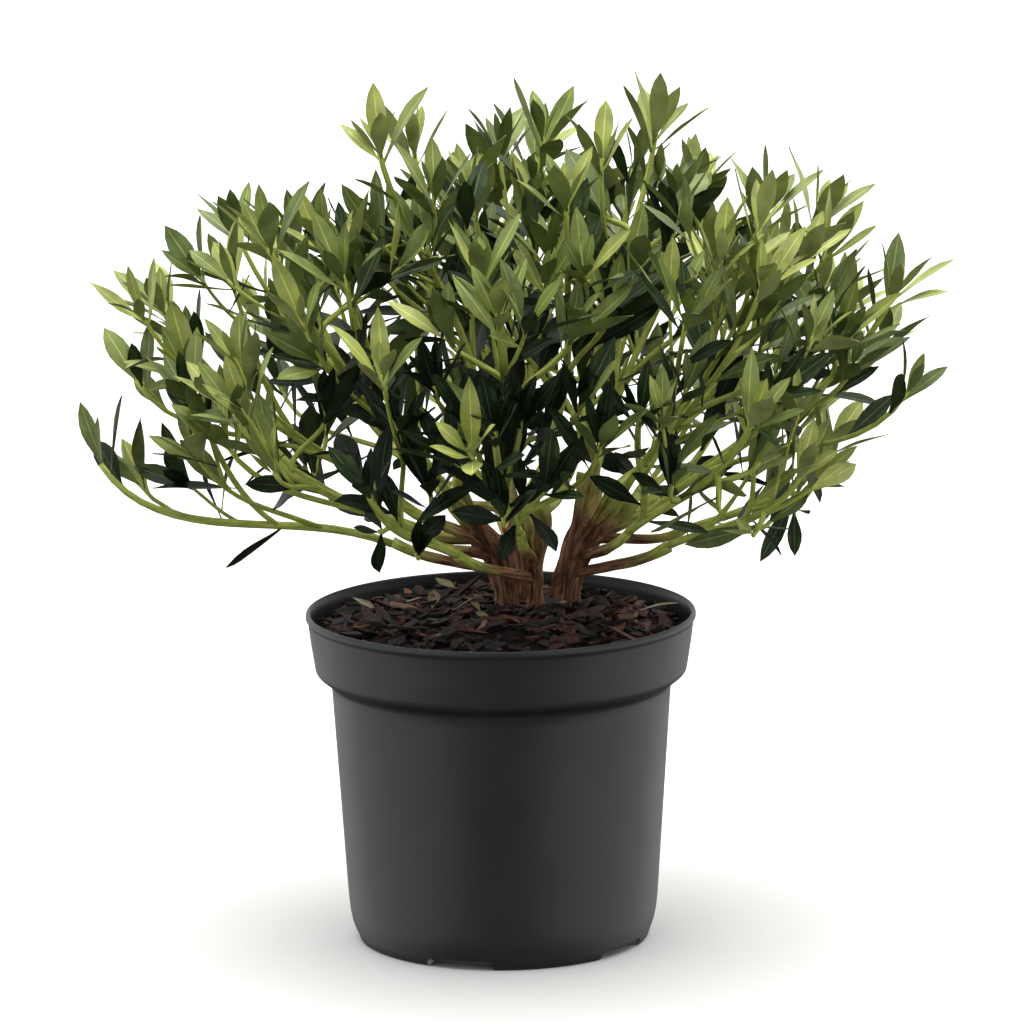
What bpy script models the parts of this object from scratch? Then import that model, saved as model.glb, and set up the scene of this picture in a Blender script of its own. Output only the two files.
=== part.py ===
# Potted dwarf rhododendron: a nursery pot with its root ball, and a bushy crown on five stems.
# Metres, +Z up. The origin is the centre of the pot's flat underside, and -Y is the front.

import math
import random

import bmesh
import bpy
from mathutils import Matrix, Vector
from mathutils.kdtree import KDTree

MM = 0.001
UP = Vector((0, 0, 1))
CLEARANCE = 0.3 * MM  # between pieces that rest on each other
MERGE = 0.01 * MM

# Pot: a lipped collar over a tapering body, on a foot with five drain notches
POT_SIDES = 48
POT_HEIGHT = 162 * MM
LIP_RADIUS = 95 * MM
LIP_HEIGHT = 3.5 * MM
COLLAR_TOP_RADIUS = 94 * MM
COLLAR_FOOT_RADIUS = 90.6 * MM
COLLAR_HEIGHT = 29.5 * MM
SHOULDER_HEIGHT = 6 * MM
BODY_TOP_RADIUS = 82.7 * MM
BODY_FOOT_RADIUS = 75.6 * MM
FOOT_CURVE_HEIGHT = 17 * MM
FOOT_RADIUS = 71 * MM
WALL = 1.8 * MM
FLOOR = 2 * MM
GUTTER_FLOOR = 6.5 * MM
GUTTER_RADIUS = 52 * MM
NOTCHES = 5
FIRST_NOTCH = math.radians(-107.5)
NOTCH_WIDTH = 33 * MM
NOTCH_DEPTH = 13 * MM
NOTCH_HEIGHT = 4.5 * MM

# Root ball: the compost fills the pot and rises to a low mound with a flat top
COMPOST_EDGE = POT_HEIGHT - 10 * MM
MOUND_TOP = POT_HEIGHT + 1 * MM
MOUND_RADIUS = 46 * MM
MOUND_FOOT_RADIUS = 72 * MM
MOUND_FOOT = POT_HEIGHT - 6.5 * MM

# Stems: five from one clump, each flared at the compost and leaning outwards
CLUMP = Vector((19 * MM, 8 * MM, MOUND_TOP + CLEARANCE))
STEMS = 5
FIRST_STEM = math.radians(46)
STEM_RING = 16.5 * MM
STEM_HEIGHT = 58 * MM
STEM_LEAN = math.radians(22)
STEM_RADII = (6.2 * MM, 4.1 * MM, 3.7 * MM, 3.1 * MM)  # at the flare, above it, halfway and at the tip
STEM_STATIONS = (0, 0.13, 0.5, 1)
STEM_SIDES = 8

# Boughs, in rings from the crown's top down to its skirt. Each ring gives the distance from the
# clump at which its boughs end, then each bough's azimuth and angle from the vertical in degrees
# and the reach of its leading shoot in millimetres
RINGS = (
    (92 * MM, ((18, 15, 234), (103, 20, 222), (196, 19, 238), (283, 17, 214))),
    (
        88 * MM,
        (
            (5, 36, 226), (56, 38, 230), (108, 40, 222), (159, 42, 226),
            (211, 38, 232), (262, 39, 205), (314, 41, 220),
        ),
    ),
    (
        85 * MM,
        (
            (352, 48, 222), (37, 57, 218), (82, 60, 218), (127, 57, 218),
            (174, 52, 222), (217, 57, 200), (262, 53, 176), (307, 55, 190),
        ),
    ),
    (
        80 * MM,
        (
            (190, 64, 225), (236, 61, 152), (330, 62, 150), (12, 64, 150),
            (60, 68, 182), (104, 69, 182), (146, 66, 180),
        ),
    ),
)
BOUGH_RADII = (2.7 * MM, 2.3 * MM, 2.1 * MM)
BOUGH_SIDES = 5
BOUGH_STEPS = 3
BOUGH_DIP = math.radians(1.5)  # a bough ends a little below its shoot's line, and its shoot turns up
LOWEST_FORK = 0.28  # share of the stem's height at which its lowest bough leaves
FORK_ANGLES = (math.radians(72), math.radians(40))  # from the vertical, at the lowest and topmost fork

# Masses: a leading shoot and its side shoots, which carry the leaves
SEED = 41
SIDE_SHOOTS = 5
FIRST_SIDE_SHOOT = 0.09
LAST_SIDE_SHOOT = 0.66
LEADER_RADII = (2.0 * MM, 1.6 * MM, 1.1 * MM)
SHOOT_RADII = (1.5 * MM, 1.2 * MM, 0.9 * MM)
SHOOT_SIDES = 3
LEADER_STEPS = 3
SHOOT_STEPS = 2
SHOOT_SPREAD = (math.radians(7), math.radians(16))  # from the leader's line
SHOOT_REACH = (0.78, 0.97)
SHOOT_ATTEMPTS = 8
LONGEST_SIDE = 235 * MM
GOLDEN_ANGLE = math.radians(137.5)
LEAF_LENGTH = 45 * MM
LEAF_WIDTH = 17 * MM
LEAF_KEEL = 1.8 * MM
LEAF_WIDEST = 0.56  # share of the length
TIP_LEAVES = 3
SHOOT_LEAVES = 5  # below the leaves of the tip
LEAVES_IN_A_MASS = 19
LEAF_STEP = 0.16  # of the shoot's length, between its lower leaves
LEAF_SIZES = (0.85, 1.1)
LEAF_ATTEMPTS = 5
LEAF_SEED = 4100
CROWDING = 10 * MM  # leaves of one mass stay this far apart beyond their stalks
SPACE_MARGIN = 0.35 * MM  # each mass keeps this far inside its own space
LIMB_MARGIN = 1.2 * MM
LOWEST_LEAF = MOUND_TOP + 14 * MM
FRONT_LIFT = 0.25  # how steeply the crown's skirt rises towards the front, where the stems show
SKIRT_START = 118 * MM  # from here outwards the skirt also rises, by the square of what lies beyond
SKIRT_RISE = 9.5  # per metre


# Materials
def linear(hex_colour):
    channels = [int(hex_colour[i : i + 2], 16) / 255 for i in (1, 3, 5)]
    return [c / 12.92 if c <= 0.04045 else ((c + 0.055) / 1.055) ** 2.4 for c in channels]


def make_material(name, hex_colour, roughness):
    material = bpy.data.materials.new(name)
    material.use_nodes = True
    shader = material.node_tree.nodes["Principled BSDF"]
    shader.inputs["Base Color"].default_value = (*linear(hex_colour), 1)
    shader.inputs["Roughness"].default_value = roughness
    shader.inputs["Metallic"].default_value = 0
    material.diffuse_color = (*linear(hex_colour), 1)
    return material


# Objects and collections
def new_collection(name, parent):
    collection = bpy.data.collections.new(name)
    parent.children.link(collection)
    return collection


def add_object(name, mesh, collection, material=None):
    obj = bpy.data.objects.new(name, mesh)
    collection.objects.link(obj)
    if material:
        mesh.materials.clear()
        mesh.materials.append(material)
    return obj


def mesh_from(bm, name):
    mesh = bpy.data.meshes.new(name)
    bm.to_mesh(mesh)
    bm.free()
    return mesh


# Pot and root ball
def turned(name, profile, collection, material):
    """A closed profile of (radius, height) turned round the Z axis, down its outer side."""
    bm = bmesh.new()
    corners = [bm.verts.new((radius, 0, height)) for radius, height in profile]
    for start, end in zip(corners, corners[1:]):
        bm.edges.new((start, end))
    obj = add_object(name, mesh_from(bm, name), collection, material)
    screw = obj.modifiers.new("turn", "SCREW")
    screw.axis = "Z"
    screw.steps = POT_SIDES
    screw.render_steps = POT_SIDES
    screw.use_merge_vertices = True
    screw.merge_threshold = MERGE
    screw.use_smooth_shade = True
    return obj


def body_radius(height):
    """The pot body's outer radius between its foot curve and its shoulder."""
    top = POT_HEIGHT - COLLAR_HEIGHT - SHOULDER_HEIGHT
    share = (height - FOOT_CURVE_HEIGHT) / (top - FOOT_CURVE_HEIGHT)
    return BODY_FOOT_RADIUS + share * (BODY_TOP_RADIUS - BODY_FOOT_RADIUS)


def inner_profile(inset):
    """The pot's inner wall from its gutter up to its collar, moved inwards by the inset."""
    collar_foot = POT_HEIGHT - COLLAR_HEIGHT
    shoulder_foot = collar_foot - SHOULDER_HEIGHT
    return [
        (FOOT_RADIUS - WALL - inset, GUTTER_FLOOR + inset),
        (body_radius(FOOT_CURVE_HEIGHT) - WALL - inset, FOOT_CURVE_HEIGHT),
        (body_radius(shoulder_foot) - WALL - inset, shoulder_foot),
        (COLLAR_FOOT_RADIUS - WALL - inset, collar_foot),
    ]


def make_pot(collection, cutters, material):
    collar_foot = POT_HEIGHT - COLLAR_HEIGHT
    shoulder_foot = collar_foot - SHOULDER_HEIGHT
    inside = [
        (0, FLOOR),
        (GUTTER_RADIUS, FLOOR),
        (GUTTER_RADIUS + GUTTER_FLOOR - FLOOR, GUTTER_FLOOR),
        *inner_profile(0),
        (COLLAR_TOP_RADIUS - WALL, POT_HEIGHT),
    ]
    outside = [
        (LIP_RADIUS, POT_HEIGHT),
        (LIP_RADIUS, POT_HEIGHT - LIP_HEIGHT),
        (COLLAR_TOP_RADIUS, POT_HEIGHT - LIP_HEIGHT - 0.5 * MM),
        (COLLAR_FOOT_RADIUS, collar_foot),
        (COLLAR_FOOT_RADIUS - 2.4 * MM, collar_foot - 0.5 * SHOULDER_HEIGHT),
        (BODY_TOP_RADIUS, shoulder_foot),
        (BODY_FOOT_RADIUS, FOOT_CURVE_HEIGHT),
        (FOOT_RADIUS + 2.4 * MM, 0.4 * FOOT_CURVE_HEIGHT),
        (FOOT_RADIUS, 0),
        (0, 0),
    ]
    pot = turned("pot", inside + outside, collection, material)
    for number in range(NOTCHES):
        turn = Matrix.Rotation(FIRST_NOTCH + number * math.tau / NOTCHES, 4, "Z")
        middle = FOOT_RADIUS - NOTCH_DEPTH / 2 + 5 * MM
        bm = bmesh.new()
        bmesh.ops.create_cube(bm, size=1)
        size = Matrix.Diagonal((NOTCH_DEPTH + 10 * MM, NOTCH_WIDTH, 2 * NOTCH_HEIGHT, 1))
        bmesh.ops.transform(bm, matrix=turn @ Matrix.Translation((middle, 0, 0)) @ size, verts=bm.verts)
        notch = add_object(f"notch_{number + 1}", mesh_from(bm, "notch"), cutters)
        hide_guide(notch)
        cut_with(pot, notch)
    return pot


def make_root_ball(collection, material):
    share = (POT_HEIGHT - COMPOST_EDGE) / COLLAR_HEIGHT
    wall_radius = COLLAR_TOP_RADIUS + share * (COLLAR_FOOT_RADIUS - COLLAR_TOP_RADIUS) - WALL
    profile = [
        (0, MOUND_TOP),
        (MOUND_RADIUS, MOUND_TOP),
        (MOUND_FOOT_RADIUS, MOUND_FOOT),
        (wall_radius - CLEARANCE, COMPOST_EDGE),
        *reversed(inner_profile(CLEARANCE)),
        (GUTTER_RADIUS + GUTTER_FLOOR - FLOOR, GUTTER_FLOOR + CLEARANCE),
        (GUTTER_RADIUS - CLEARANCE, FLOOR + CLEARANCE),
        (0, FLOOR + CLEARANCE),
    ]
    return turned("root_ball", profile, collection, material)


# Cutters
def hide_guide(obj):
    obj.hide_render = True
    obj.display_type = "WIRE"


def cut_with(obj, cutter):
    cut = obj.modifiers.new("cut", "BOOLEAN")
    cut.operation = "DIFFERENCE"
    cut.solver = "EXACT"
    cut.object = cutter


# Limbs
def bezier(start, start_direction, end, end_direction, steps, pull=0.36):
    """Points on a smooth curve that leaves and arrives in the given directions."""
    arm = pull * (end - start).length
    first = start + arm * start_direction.normalized()
    second = end - arm * end_direction.normalized()
    points = []
    for step in range(steps + 1):
        t = step / steps
        s = 1 - t
        points.append(s**3 * start + 3 * s * s * t * first + 3 * s * t * t * second + t**3 * end)
    return points


def along(path, share):
    """The point at a share of the path's length, and the path's direction there."""
    lengths = [(b - a).length for a, b in zip(path, path[1:])]
    left = share * sum(lengths)
    for a, b, length in zip(path, path[1:], lengths):
        if left <= length or b is path[-1]:
            return a + (b - a) * (left / length), (b - a).normalized()
        left -= length


def extruded(bm, cap):
    grown = bmesh.ops.extrude_face_region(bm, geom=cap + list(cap[0].edges))["geom"]
    ring = [item for item in grown if isinstance(item, bmesh.types.BMVert)]
    return ring, [item for item in grown if isinstance(item, bmesh.types.BMFace)]


def limb_mesh(name, path, radii, sides, first_heading=None):
    """A closed tapering limb: a disc at the path's start, extruded from point to point."""
    bm = bmesh.new()
    disc = bmesh.ops.create_circle(bm, cap_ends=True, segments=sides, radius=1)
    ring, cap = disc["verts"], bm.faces[:]
    turn = UP.rotation_difference(path[1] - path[0])
    placed = Matrix.Identity(4)
    for number, point in enumerate(path):
        before = path[max(number - 1, 0)]
        after = path[min(number + 1, len(path) - 1)]
        heading = (after - before).normalized()
        if number == 0 and first_heading:
            heading = first_heading
        turn = (turn @ UP).rotation_difference(heading) @ turn
        radius = along_radii(radii, number / (len(path) - 1))
        place = Matrix.Translation(point) @ turn.to_matrix().to_4x4() @ Matrix.Scale(radius, 4)
        if number:
            ring, cap = extruded(bm, cap)
        bmesh.ops.transform(bm, matrix=place @ placed.inverted(), verts=ring)
        placed = place
    bmesh.ops.recalc_face_normals(bm, faces=bm.faces)
    return mesh_from(bm, name)


def along_radii(radii, share):
    place = share * (len(radii) - 1)
    lower = min(int(place), len(radii) - 2)
    return radii[lower] + (place - lower) * (radii[lower + 1] - radii[lower])


def direction(polar, azimuth):
    return Vector((math.sin(polar) * math.cos(azimuth), math.sin(polar) * math.sin(azimuth), math.cos(polar)))


def make_stem(number, collection, cutters, material):
    """A stem with its root flare, and a slightly larger copy that trims the boughs which leave it."""
    azimuth = FIRST_STEM + number * math.tau / STEMS
    foot = CLUMP + STEM_RING * direction(math.pi / 2, azimuth)
    top = foot + STEM_HEIGHT * (direction(STEM_LEAN, azimuth) / math.cos(STEM_LEAN))
    path = bezier(foot, UP, top, direction(STEM_LEAN, azimuth), 8)
    stations = [along(path, share)[0] for share in STEM_STATIONS]
    stem = add_object(f"stem_{number + 1}", stem_mesh(stations, 0), collection, material)
    trimmer = add_object(f"stem_trim_{number + 1}", stem_mesh(stations, CLEARANCE), cutters)
    hide_guide(trimmer)
    return {"azimuth": azimuth, "path": stations, "trimmer": trimmer, "object": stem}


def stem_mesh(stations, extra):
    """The disc at the foot stays level, so that the stem is cut flat at the compost."""
    bm = bmesh.new()
    disc = bmesh.ops.create_circle(bm, cap_ends=True, segments=STEM_SIDES, radius=1)
    ring, cap = disc["verts"], bm.faces[:]
    placed = Matrix.Identity(4)
    for number, (point, radius) in enumerate(zip(stations, STEM_RADII)):
        heading = UP if number < 2 else point - stations[number - 1]
        turn = UP.rotation_difference(heading).to_matrix().to_4x4()
        if number == len(stations) - 1:
            point = point + extra * heading.normalized()
        place = Matrix.Translation(point) @ turn @ Matrix.Scale(radius + extra, 4)
        if number:
            ring, cap = extruded(bm, cap)
        bmesh.ops.transform(bm, matrix=place @ placed.inverted(), verts=ring)
        placed = place
    bmesh.ops.recalc_face_normals(bm, faces=bm.faces)
    return mesh_from(bm, "stem")


def plan_boughs(stems):
    """Every bough's line and reach, dealt to the stem on its side of the clump, lowest bough lowest."""
    boughs = []
    for end, ring in RINGS:
        for azimuth, polar, reach in ring:
            angles = {"azimuth": math.radians(azimuth), "polar": math.radians(polar)}
            boughs.append({**angles, "end": end, "reach": reach * MM})
    for stem in stems:
        own = [b for b in boughs if nearest_stem(stems, b["azimuth"]) is stem]
        own.sort(key=lambda bough: -bough["polar"])
        for place, bough in enumerate(own):
            leads = place == len(own) - 1
            share = LOWEST_FORK + (1 - LOWEST_FORK) * place / len(own)
            bough["stem"] = stem
            bough["path"] = bough_path(bough, stem, 1 if leads else share, leads)
    return boughs


def nearest_stem(stems, azimuth):
    return max(stems, key=lambda stem: math.cos(stem["azimuth"] - azimuth))


def bough_path(bough, stem, share, leads):
    """A leading bough carries its stem's line on. The others leave its side and turn up.
    All start inside the stem, and its trimmer cuts them back to just clear of it."""
    start, heading = along(stem["path"], share)
    end = CLUMP + bough["end"] * direction(bough["polar"] + BOUGH_DIP, bough["azimuth"])
    if leads:
        start = start - 1.5 * MM * heading
    else:
        rise = (share - LOWEST_FORK) / (1 - LOWEST_FORK)
        fork_angle = FORK_ANGLES[0] + rise * (FORK_ANGLES[1] - FORK_ANGLES[0])
        heading = direction(fork_angle, bough["azimuth"])
    arrival = direction(bough["polar"], bough["azimuth"]) + 0.12 * UP
    return bezier(start, heading, end, arrival, BOUGH_STEPS)


def make_bough(number, bough, collection, material):
    mesh = limb_mesh("bough", bough["path"], BOUGH_RADII, BOUGH_SIDES)
    obj = add_object(f"bough_{number:02d}", mesh, collection, material)
    cut_with(obj, bough["stem"]["trimmer"])


# Spaces: each mass keeps to the directions from the clump that lie nearest its own line
def make_space(bough, boughs, limbs):
    own = direction(bough["polar"], bough["azimuth"])
    sides = [
        own - direction(other["polar"], other["azimuth"])
        for other in boughs
        if other is not bough
    ]
    sides = [side.normalized() for side in sides]

    def holds(points, radius=0):
        for point in points:
            offset = point - CLUMP
            if point.z - radius < skirt_height(offset):
                return False
            if any(offset.dot(side) < SPACE_MARGIN + radius for side in sides):
                return False
            _, _, distance = limbs.find(point)
            if distance < BOUGH_RADII[0] + LIMB_MARGIN + radius:
                return False
        return True

    return holds


def skirt_height(offset):
    """The lowest place for a leaf, this far from the clump: higher in front, and rising outwards."""
    beyond = max(0, math.hypot(offset.x, offset.y) - SKIRT_START)
    return LOWEST_LEAF + FRONT_LIFT * max(0, -offset.y) + SKIRT_RISE * beyond**2


def limb_tree(boughs):
    """Points a few millimetres apart on every bough's line, for testing what would touch one."""
    shares = [step / 24 for step in range(24)]
    tree = KDTree(len(boughs) * len(shares))
    for number, bough in enumerate(boughs):
        for place, share in enumerate(shares):
            tree.insert(along(bough["path"], share)[0], number * len(shares) + place)
    tree.balance()
    return tree


# Shoots and leaves
def plan_shoots(bough, holds, rng):
    """The leader from the bough's tip, then the side shoots that stay in the mass's space."""
    line = direction(bough["polar"], bough["azimuth"])
    tip, heading = bough["path"][-1], (bough["path"][-1] - bough["path"][-2]).normalized()
    start = tip + CLEARANCE * heading
    leader = bezier(start, heading, CLUMP + bough["reach"] * line, line + 0.35 * UP, LEADER_STEPS)
    shoots = [{"path": leader, "radii": LEADER_RADII, "heading": heading}]
    tilt_axis = line.orthogonal().normalized()
    roll = rng.uniform(0, math.tau)
    for number in range(SIDE_SHOOTS):
        share = number / (SIDE_SHOOTS - 1)
        fork = FIRST_SIDE_SHOOT + share * (LAST_SIDE_SHOOT - FIRST_SIDE_SHOOT)
        root, root_heading = along(leader, fork)
        for attempt in range(SHOOT_ATTEMPTS):
            roll += GOLDEN_ANGLE
            spread = rng.uniform(*SHOOT_SPREAD) * (1 - 0.3 * share)
            towards = Matrix.Rotation(roll, 3, line) @ Matrix.Rotation(spread, 3, tilt_axis) @ line
            end = CLUMP + min(bough["reach"], LONGEST_SIDE) * rng.uniform(*SHOOT_REACH) * towards
            leaving = root_heading + 0.8 * (end - root).normalized()
            path = bezier(root, leaving, end, towards + 0.4 * UP, SHOOT_STEPS)
            if holds([along(path, step / 6)[0] for step in range(1, 7)], SHOOT_RADII[0]):
                shoots.append({"path": path, "radii": SHOOT_RADII, "heading": None})
                break
    return shoots


def leaf_template():
    """A lozenge with a keel, its stalk end at the origin, pointing along Z with its face towards Y."""
    bm = bmesh.new()
    bmesh.ops.create_uvsphere(bm, u_segments=3, v_segments=2, radius=1)
    for vert in bm.verts:
        across, keel, height = vert.co
        if abs(height) > 0.5:
            vert.co = (0, 0, LEAF_LENGTH * (height > 0))
        else:
            side = across / math.sin(math.tau / 3)
            vert.co = (side * LEAF_WIDTH / 2, -LEAF_KEEL * (keel > 0.5), LEAF_WIDEST * LEAF_LENGTH)
    bmesh.ops.recalc_face_normals(bm, faces=bm.faces)
    return mesh_from(bm, "leaf")


def leaf_sites(shoots, rng):
    """Where leaves may grow: a rosette round each tip, then further down, with a turn for each."""
    sites = []
    for shoot in shoots:
        length = sum((b - a).length for a, b in zip(shoot["path"], shoot["path"][1:]))
        turn = rng.uniform(0, math.tau)
        for number in range(TIP_LEAVES + SHOOT_LEAVES):
            turn += GOLDEN_ANGLE
            lower = number - TIP_LEAVES + 1
            down = 3.5 * MM * (number + 0.7) if lower <= 0 else 9 * MM + lower * LEAF_STEP * length
            root, heading = along(shoot["path"], max(0.12, 1 - down / length))
            sites.append((number, root, heading, turn, rng.uniform(*LEAF_SIZES)))
    sites.sort(key=lambda site: site[0])
    return sites


def leaf_matrix(number, root, heading, turn, size):
    """A leaf on its shoot. Lower leaves stand out further, and all of them lift a little."""
    spread = math.radians(min(30 + 9 * number, 68))
    across = Matrix.Rotation(turn, 3, heading) @ heading.orthogonal().normalized()
    blade = (heading * math.cos(spread) + across * math.sin(spread) + 0.2 * UP).normalized()
    face = (heading - blade * heading.dot(blade)).normalized()
    rotation = Matrix((face.cross(blade).normalized(), face, blade)).transposed().to_4x4()
    return Matrix.Translation(root) @ rotation @ Matrix.Scale(size, 4)


def deal_leaves(shoots, leaf, holds, rng):
    """Matrices for the leaves that stay in the mass's space and clear of one another."""
    placed, taken = [], []
    for number, root, heading, turn, size in leaf_sites(shoots, rng):
        for attempt in range(LEAF_ATTEMPTS):
            place = leaf_matrix(number, root, heading, turn + attempt * GOLDEN_ANGLE, size)
            corners = [place @ vert.co for vert in leaf.vertices]
            outer = [point for point in corners if (point - root).length > MM]
            midrib = [place @ Vector((0, 0, share * LEAF_LENGTH)) for share in (0.4, 0.6, 0.8, 1)]
            crowded = any((a - b).length < CROWDING for other in taken for a in midrib for b in other)
            if len(taken) < LEAVES_IN_A_MASS and not crowded and holds(outer + midrib):
                placed.append(place)
                taken.append(midrib)
                break
    return placed


def make_mass(number, bough, boughs, limbs, leaf, collection, material):
    """A leader with its side shoots and their leaves, fused to one solid."""
    holds = make_space(bough, boughs, limbs)
    shoots = plan_shoots(bough, holds, random.Random(SEED + number))
    places = deal_leaves(shoots, leaf, holds, random.Random(LEAF_SEED + number))
    meshes = [limb_mesh("shoot", s["path"], s["radii"], SHOOT_SIDES, s["heading"]) for s in shoots]
    operands = new_collection(f"operands_{number}", bpy.context.scene.collection)
    for mesh in meshes[1:]:
        add_object("shoot", mesh, operands)
    for place in places:
        add_object("leaf", leaf, operands).matrix_world = place
    mass = add_object(f"foliage_{number:02d}", meshes[0], collection, material)
    fuse(mass, operands)
    return len(places), len(shoots)


def fuse(obj, operands):
    """Joins the collection's objects to the object in one Boolean union, then removes them."""
    union = obj.modifiers.new("join", "BOOLEAN")
    union.operation = "UNION"
    union.solver = "MANIFOLD"
    union.operand_type = "COLLECTION"
    union.collection = operands
    bpy.context.view_layer.update()
    graph = bpy.context.evaluated_depsgraph_get()
    joined = bpy.data.meshes.new_from_object(obj.evaluated_get(graph))
    obj.modifiers.clear()
    obj.data = joined
    for operand in list(operands.objects):
        bpy.data.objects.remove(operand)
    bpy.data.collections.remove(operands)
    keep_outer_skin(joined)


def keep_outer_skin(mesh):
    """Drops loose scraps and the walls of sealed hollows, which leaves the hollows filled."""
    bm = bmesh.new()
    bm.from_mesh(mesh)
    left = set(bm.verts)
    islands = []
    while left:
        island, queue = set(), [left.pop()]
        while queue:
            vert = queue.pop()
            island.add(vert)
            for edge in vert.link_edges:
                other = edge.other_vert(vert)
                if other in left:
                    left.remove(other)
                    queue.append(other)
        islands.append(island)
    islands.sort(key=len)
    for island in islands[:-1]:
        bmesh.ops.delete(bm, geom=list(island), context="VERTS")
    bm.to_mesh(mesh)
    bm.free()


# The whole plant
def main():
    for obj in list(bpy.data.objects):
        bpy.data.objects.remove(obj)
    root = bpy.context.scene.collection
    plant = new_collection("potted_dwarf_rhododendron", root)
    cutters = new_collection("cutters", root)
    plastic = make_material("pot_plastic", "#3c3e40", 0.5)
    compost = make_material("compost", "#2a1c16", 0.95)
    bark = make_material("bark", "#7a5c3f", 0.85)
    foliage = make_material("foliage", "#5b7a34", 0.5)

    make_pot(plant, cutters, plastic)
    make_root_ball(plant, compost)
    stems = [make_stem(number, plant, cutters, bark) for number in range(STEMS)]
    boughs = plan_boughs(stems)
    for number, bough in enumerate(boughs):
        make_bough(number + 1, bough, plant, bark)
    limbs = limb_tree(boughs)
    leaf = leaf_template()
    counts = [
        make_mass(number + 1, bough, boughs, limbs, leaf, plant, foliage)
        for number, bough in enumerate(boughs)
    ]
    print("leaves and shoots of each mass:", counts)
    print(f"{len(boughs)} masses with {sum(leaves for leaves, _ in counts)} leaves in all")


main()
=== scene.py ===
# Potted dwarf rhododendron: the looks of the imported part, made in the part's own frame.
# Metres, +Z up, the camera on the -Y side. The shrub grows by the seeded rule of its solids,
# written again here, and carries on from them to finer shoots and life-size leaves.

import math
import random

import bmesh
import bpy
import numpy as np
from mathutils import Matrix, Vector, noise
from mathutils.kdtree import KDTree


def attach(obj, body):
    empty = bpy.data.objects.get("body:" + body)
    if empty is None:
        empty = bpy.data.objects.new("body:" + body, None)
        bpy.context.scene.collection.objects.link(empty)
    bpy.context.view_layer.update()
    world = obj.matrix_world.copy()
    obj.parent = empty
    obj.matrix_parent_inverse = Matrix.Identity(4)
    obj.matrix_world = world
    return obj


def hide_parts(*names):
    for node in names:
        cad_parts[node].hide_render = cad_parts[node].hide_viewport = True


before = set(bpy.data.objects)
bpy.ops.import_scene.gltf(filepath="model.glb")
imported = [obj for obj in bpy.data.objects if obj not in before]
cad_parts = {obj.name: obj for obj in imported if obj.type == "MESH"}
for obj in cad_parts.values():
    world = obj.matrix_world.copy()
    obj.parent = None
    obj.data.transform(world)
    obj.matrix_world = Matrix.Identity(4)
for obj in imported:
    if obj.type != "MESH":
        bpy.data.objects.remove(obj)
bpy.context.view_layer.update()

mm = 0.001
up = Vector((0, 0, 1))
goldenAngle = math.radians(137.5)
massNodes = sorted(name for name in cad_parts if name.startswith("foliage"))
limbNodes = sorted(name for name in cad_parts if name.startswith(("stem", "bough")))


# Small helpers
def linearColour(hexColour, gain=1):
    channels = [int(hexColour[i : i + 2], 16) / 255 for i in (1, 3, 5)]
    linear = [c / 12.92 if c <= 0.04045 else ((c + 0.055) / 1.055) ** 2.4 for c in channels]
    return (*(min(1, gain * c) for c in linear), 1)


# A ramp's stops from pairs of a place and a colour
def linearStops(pairs):
    return [(place, linearColour(colour)) for place, colour in pairs]


# Settings are input values by name or number, a ramp's stops, or the node's own attributes
def addNode(tree, kind, settings, links=None):
    node = tree.nodes.new(kind)
    for name, value in settings.items():
        if name == "stops":
            elements = node.color_ramp.elements
            while len(elements) < len(value):
                elements.new(0.5)
            for element, (place, colour) in zip(elements, value):
                element.position, element.color = place, colour
        elif isinstance(name, int) or name in node.inputs:
            node.inputs[name].default_value = value
        else:
            setattr(node, name, value)
    for name, socket in (links or {}).items():
        tree.links.new(socket, node.inputs[name])
    return node


def newMaterial(name, roughness, specular):
    material = bpy.data.materials.new(name)
    material.use_nodes = True
    shader = material.node_tree.nodes["Principled BSDF"]
    shader.inputs["Roughness"].default_value = roughness
    shader.inputs["Specular IOR Level"].default_value = specular
    return material, material.node_tree, shader


def meshFrom(bm, name, smooth=True):
    for face in bm.faces:
        face.smooth = smooth
    mesh = bpy.data.meshes.new(name)
    bm.to_mesh(mesh)
    bm.free()
    return mesh


def addPiece(name, mesh, materials, replaced=()):
    piece = bpy.data.objects.new(name, mesh)
    bpy.context.scene.collection.objects.link(piece)
    for material in materials:
        mesh.materials.append(material)
    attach(piece, "root")
    if replaced:
        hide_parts(*replaced)


# A small shape as arrays, so that hundreds of copies can be joined at once
def asTemplate(bm):
    bm.verts.index_update()
    creases = [[vert.index for vert in edge.verts] for edge in bm.edges if not edge.smooth]
    template = {
        "points": np.array([vert.co for vert in bm.verts]),
        "corners": np.array([vert.index for face in bm.faces for vert in face.verts]),
        "sizes": np.array([len(face.verts) for face in bm.faces]),
        "slots": np.array([face.material_index for face in bm.faces]),
        "sharp": np.array(creases).reshape(-1, 2),
    }
    bm.free()
    return template


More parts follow.
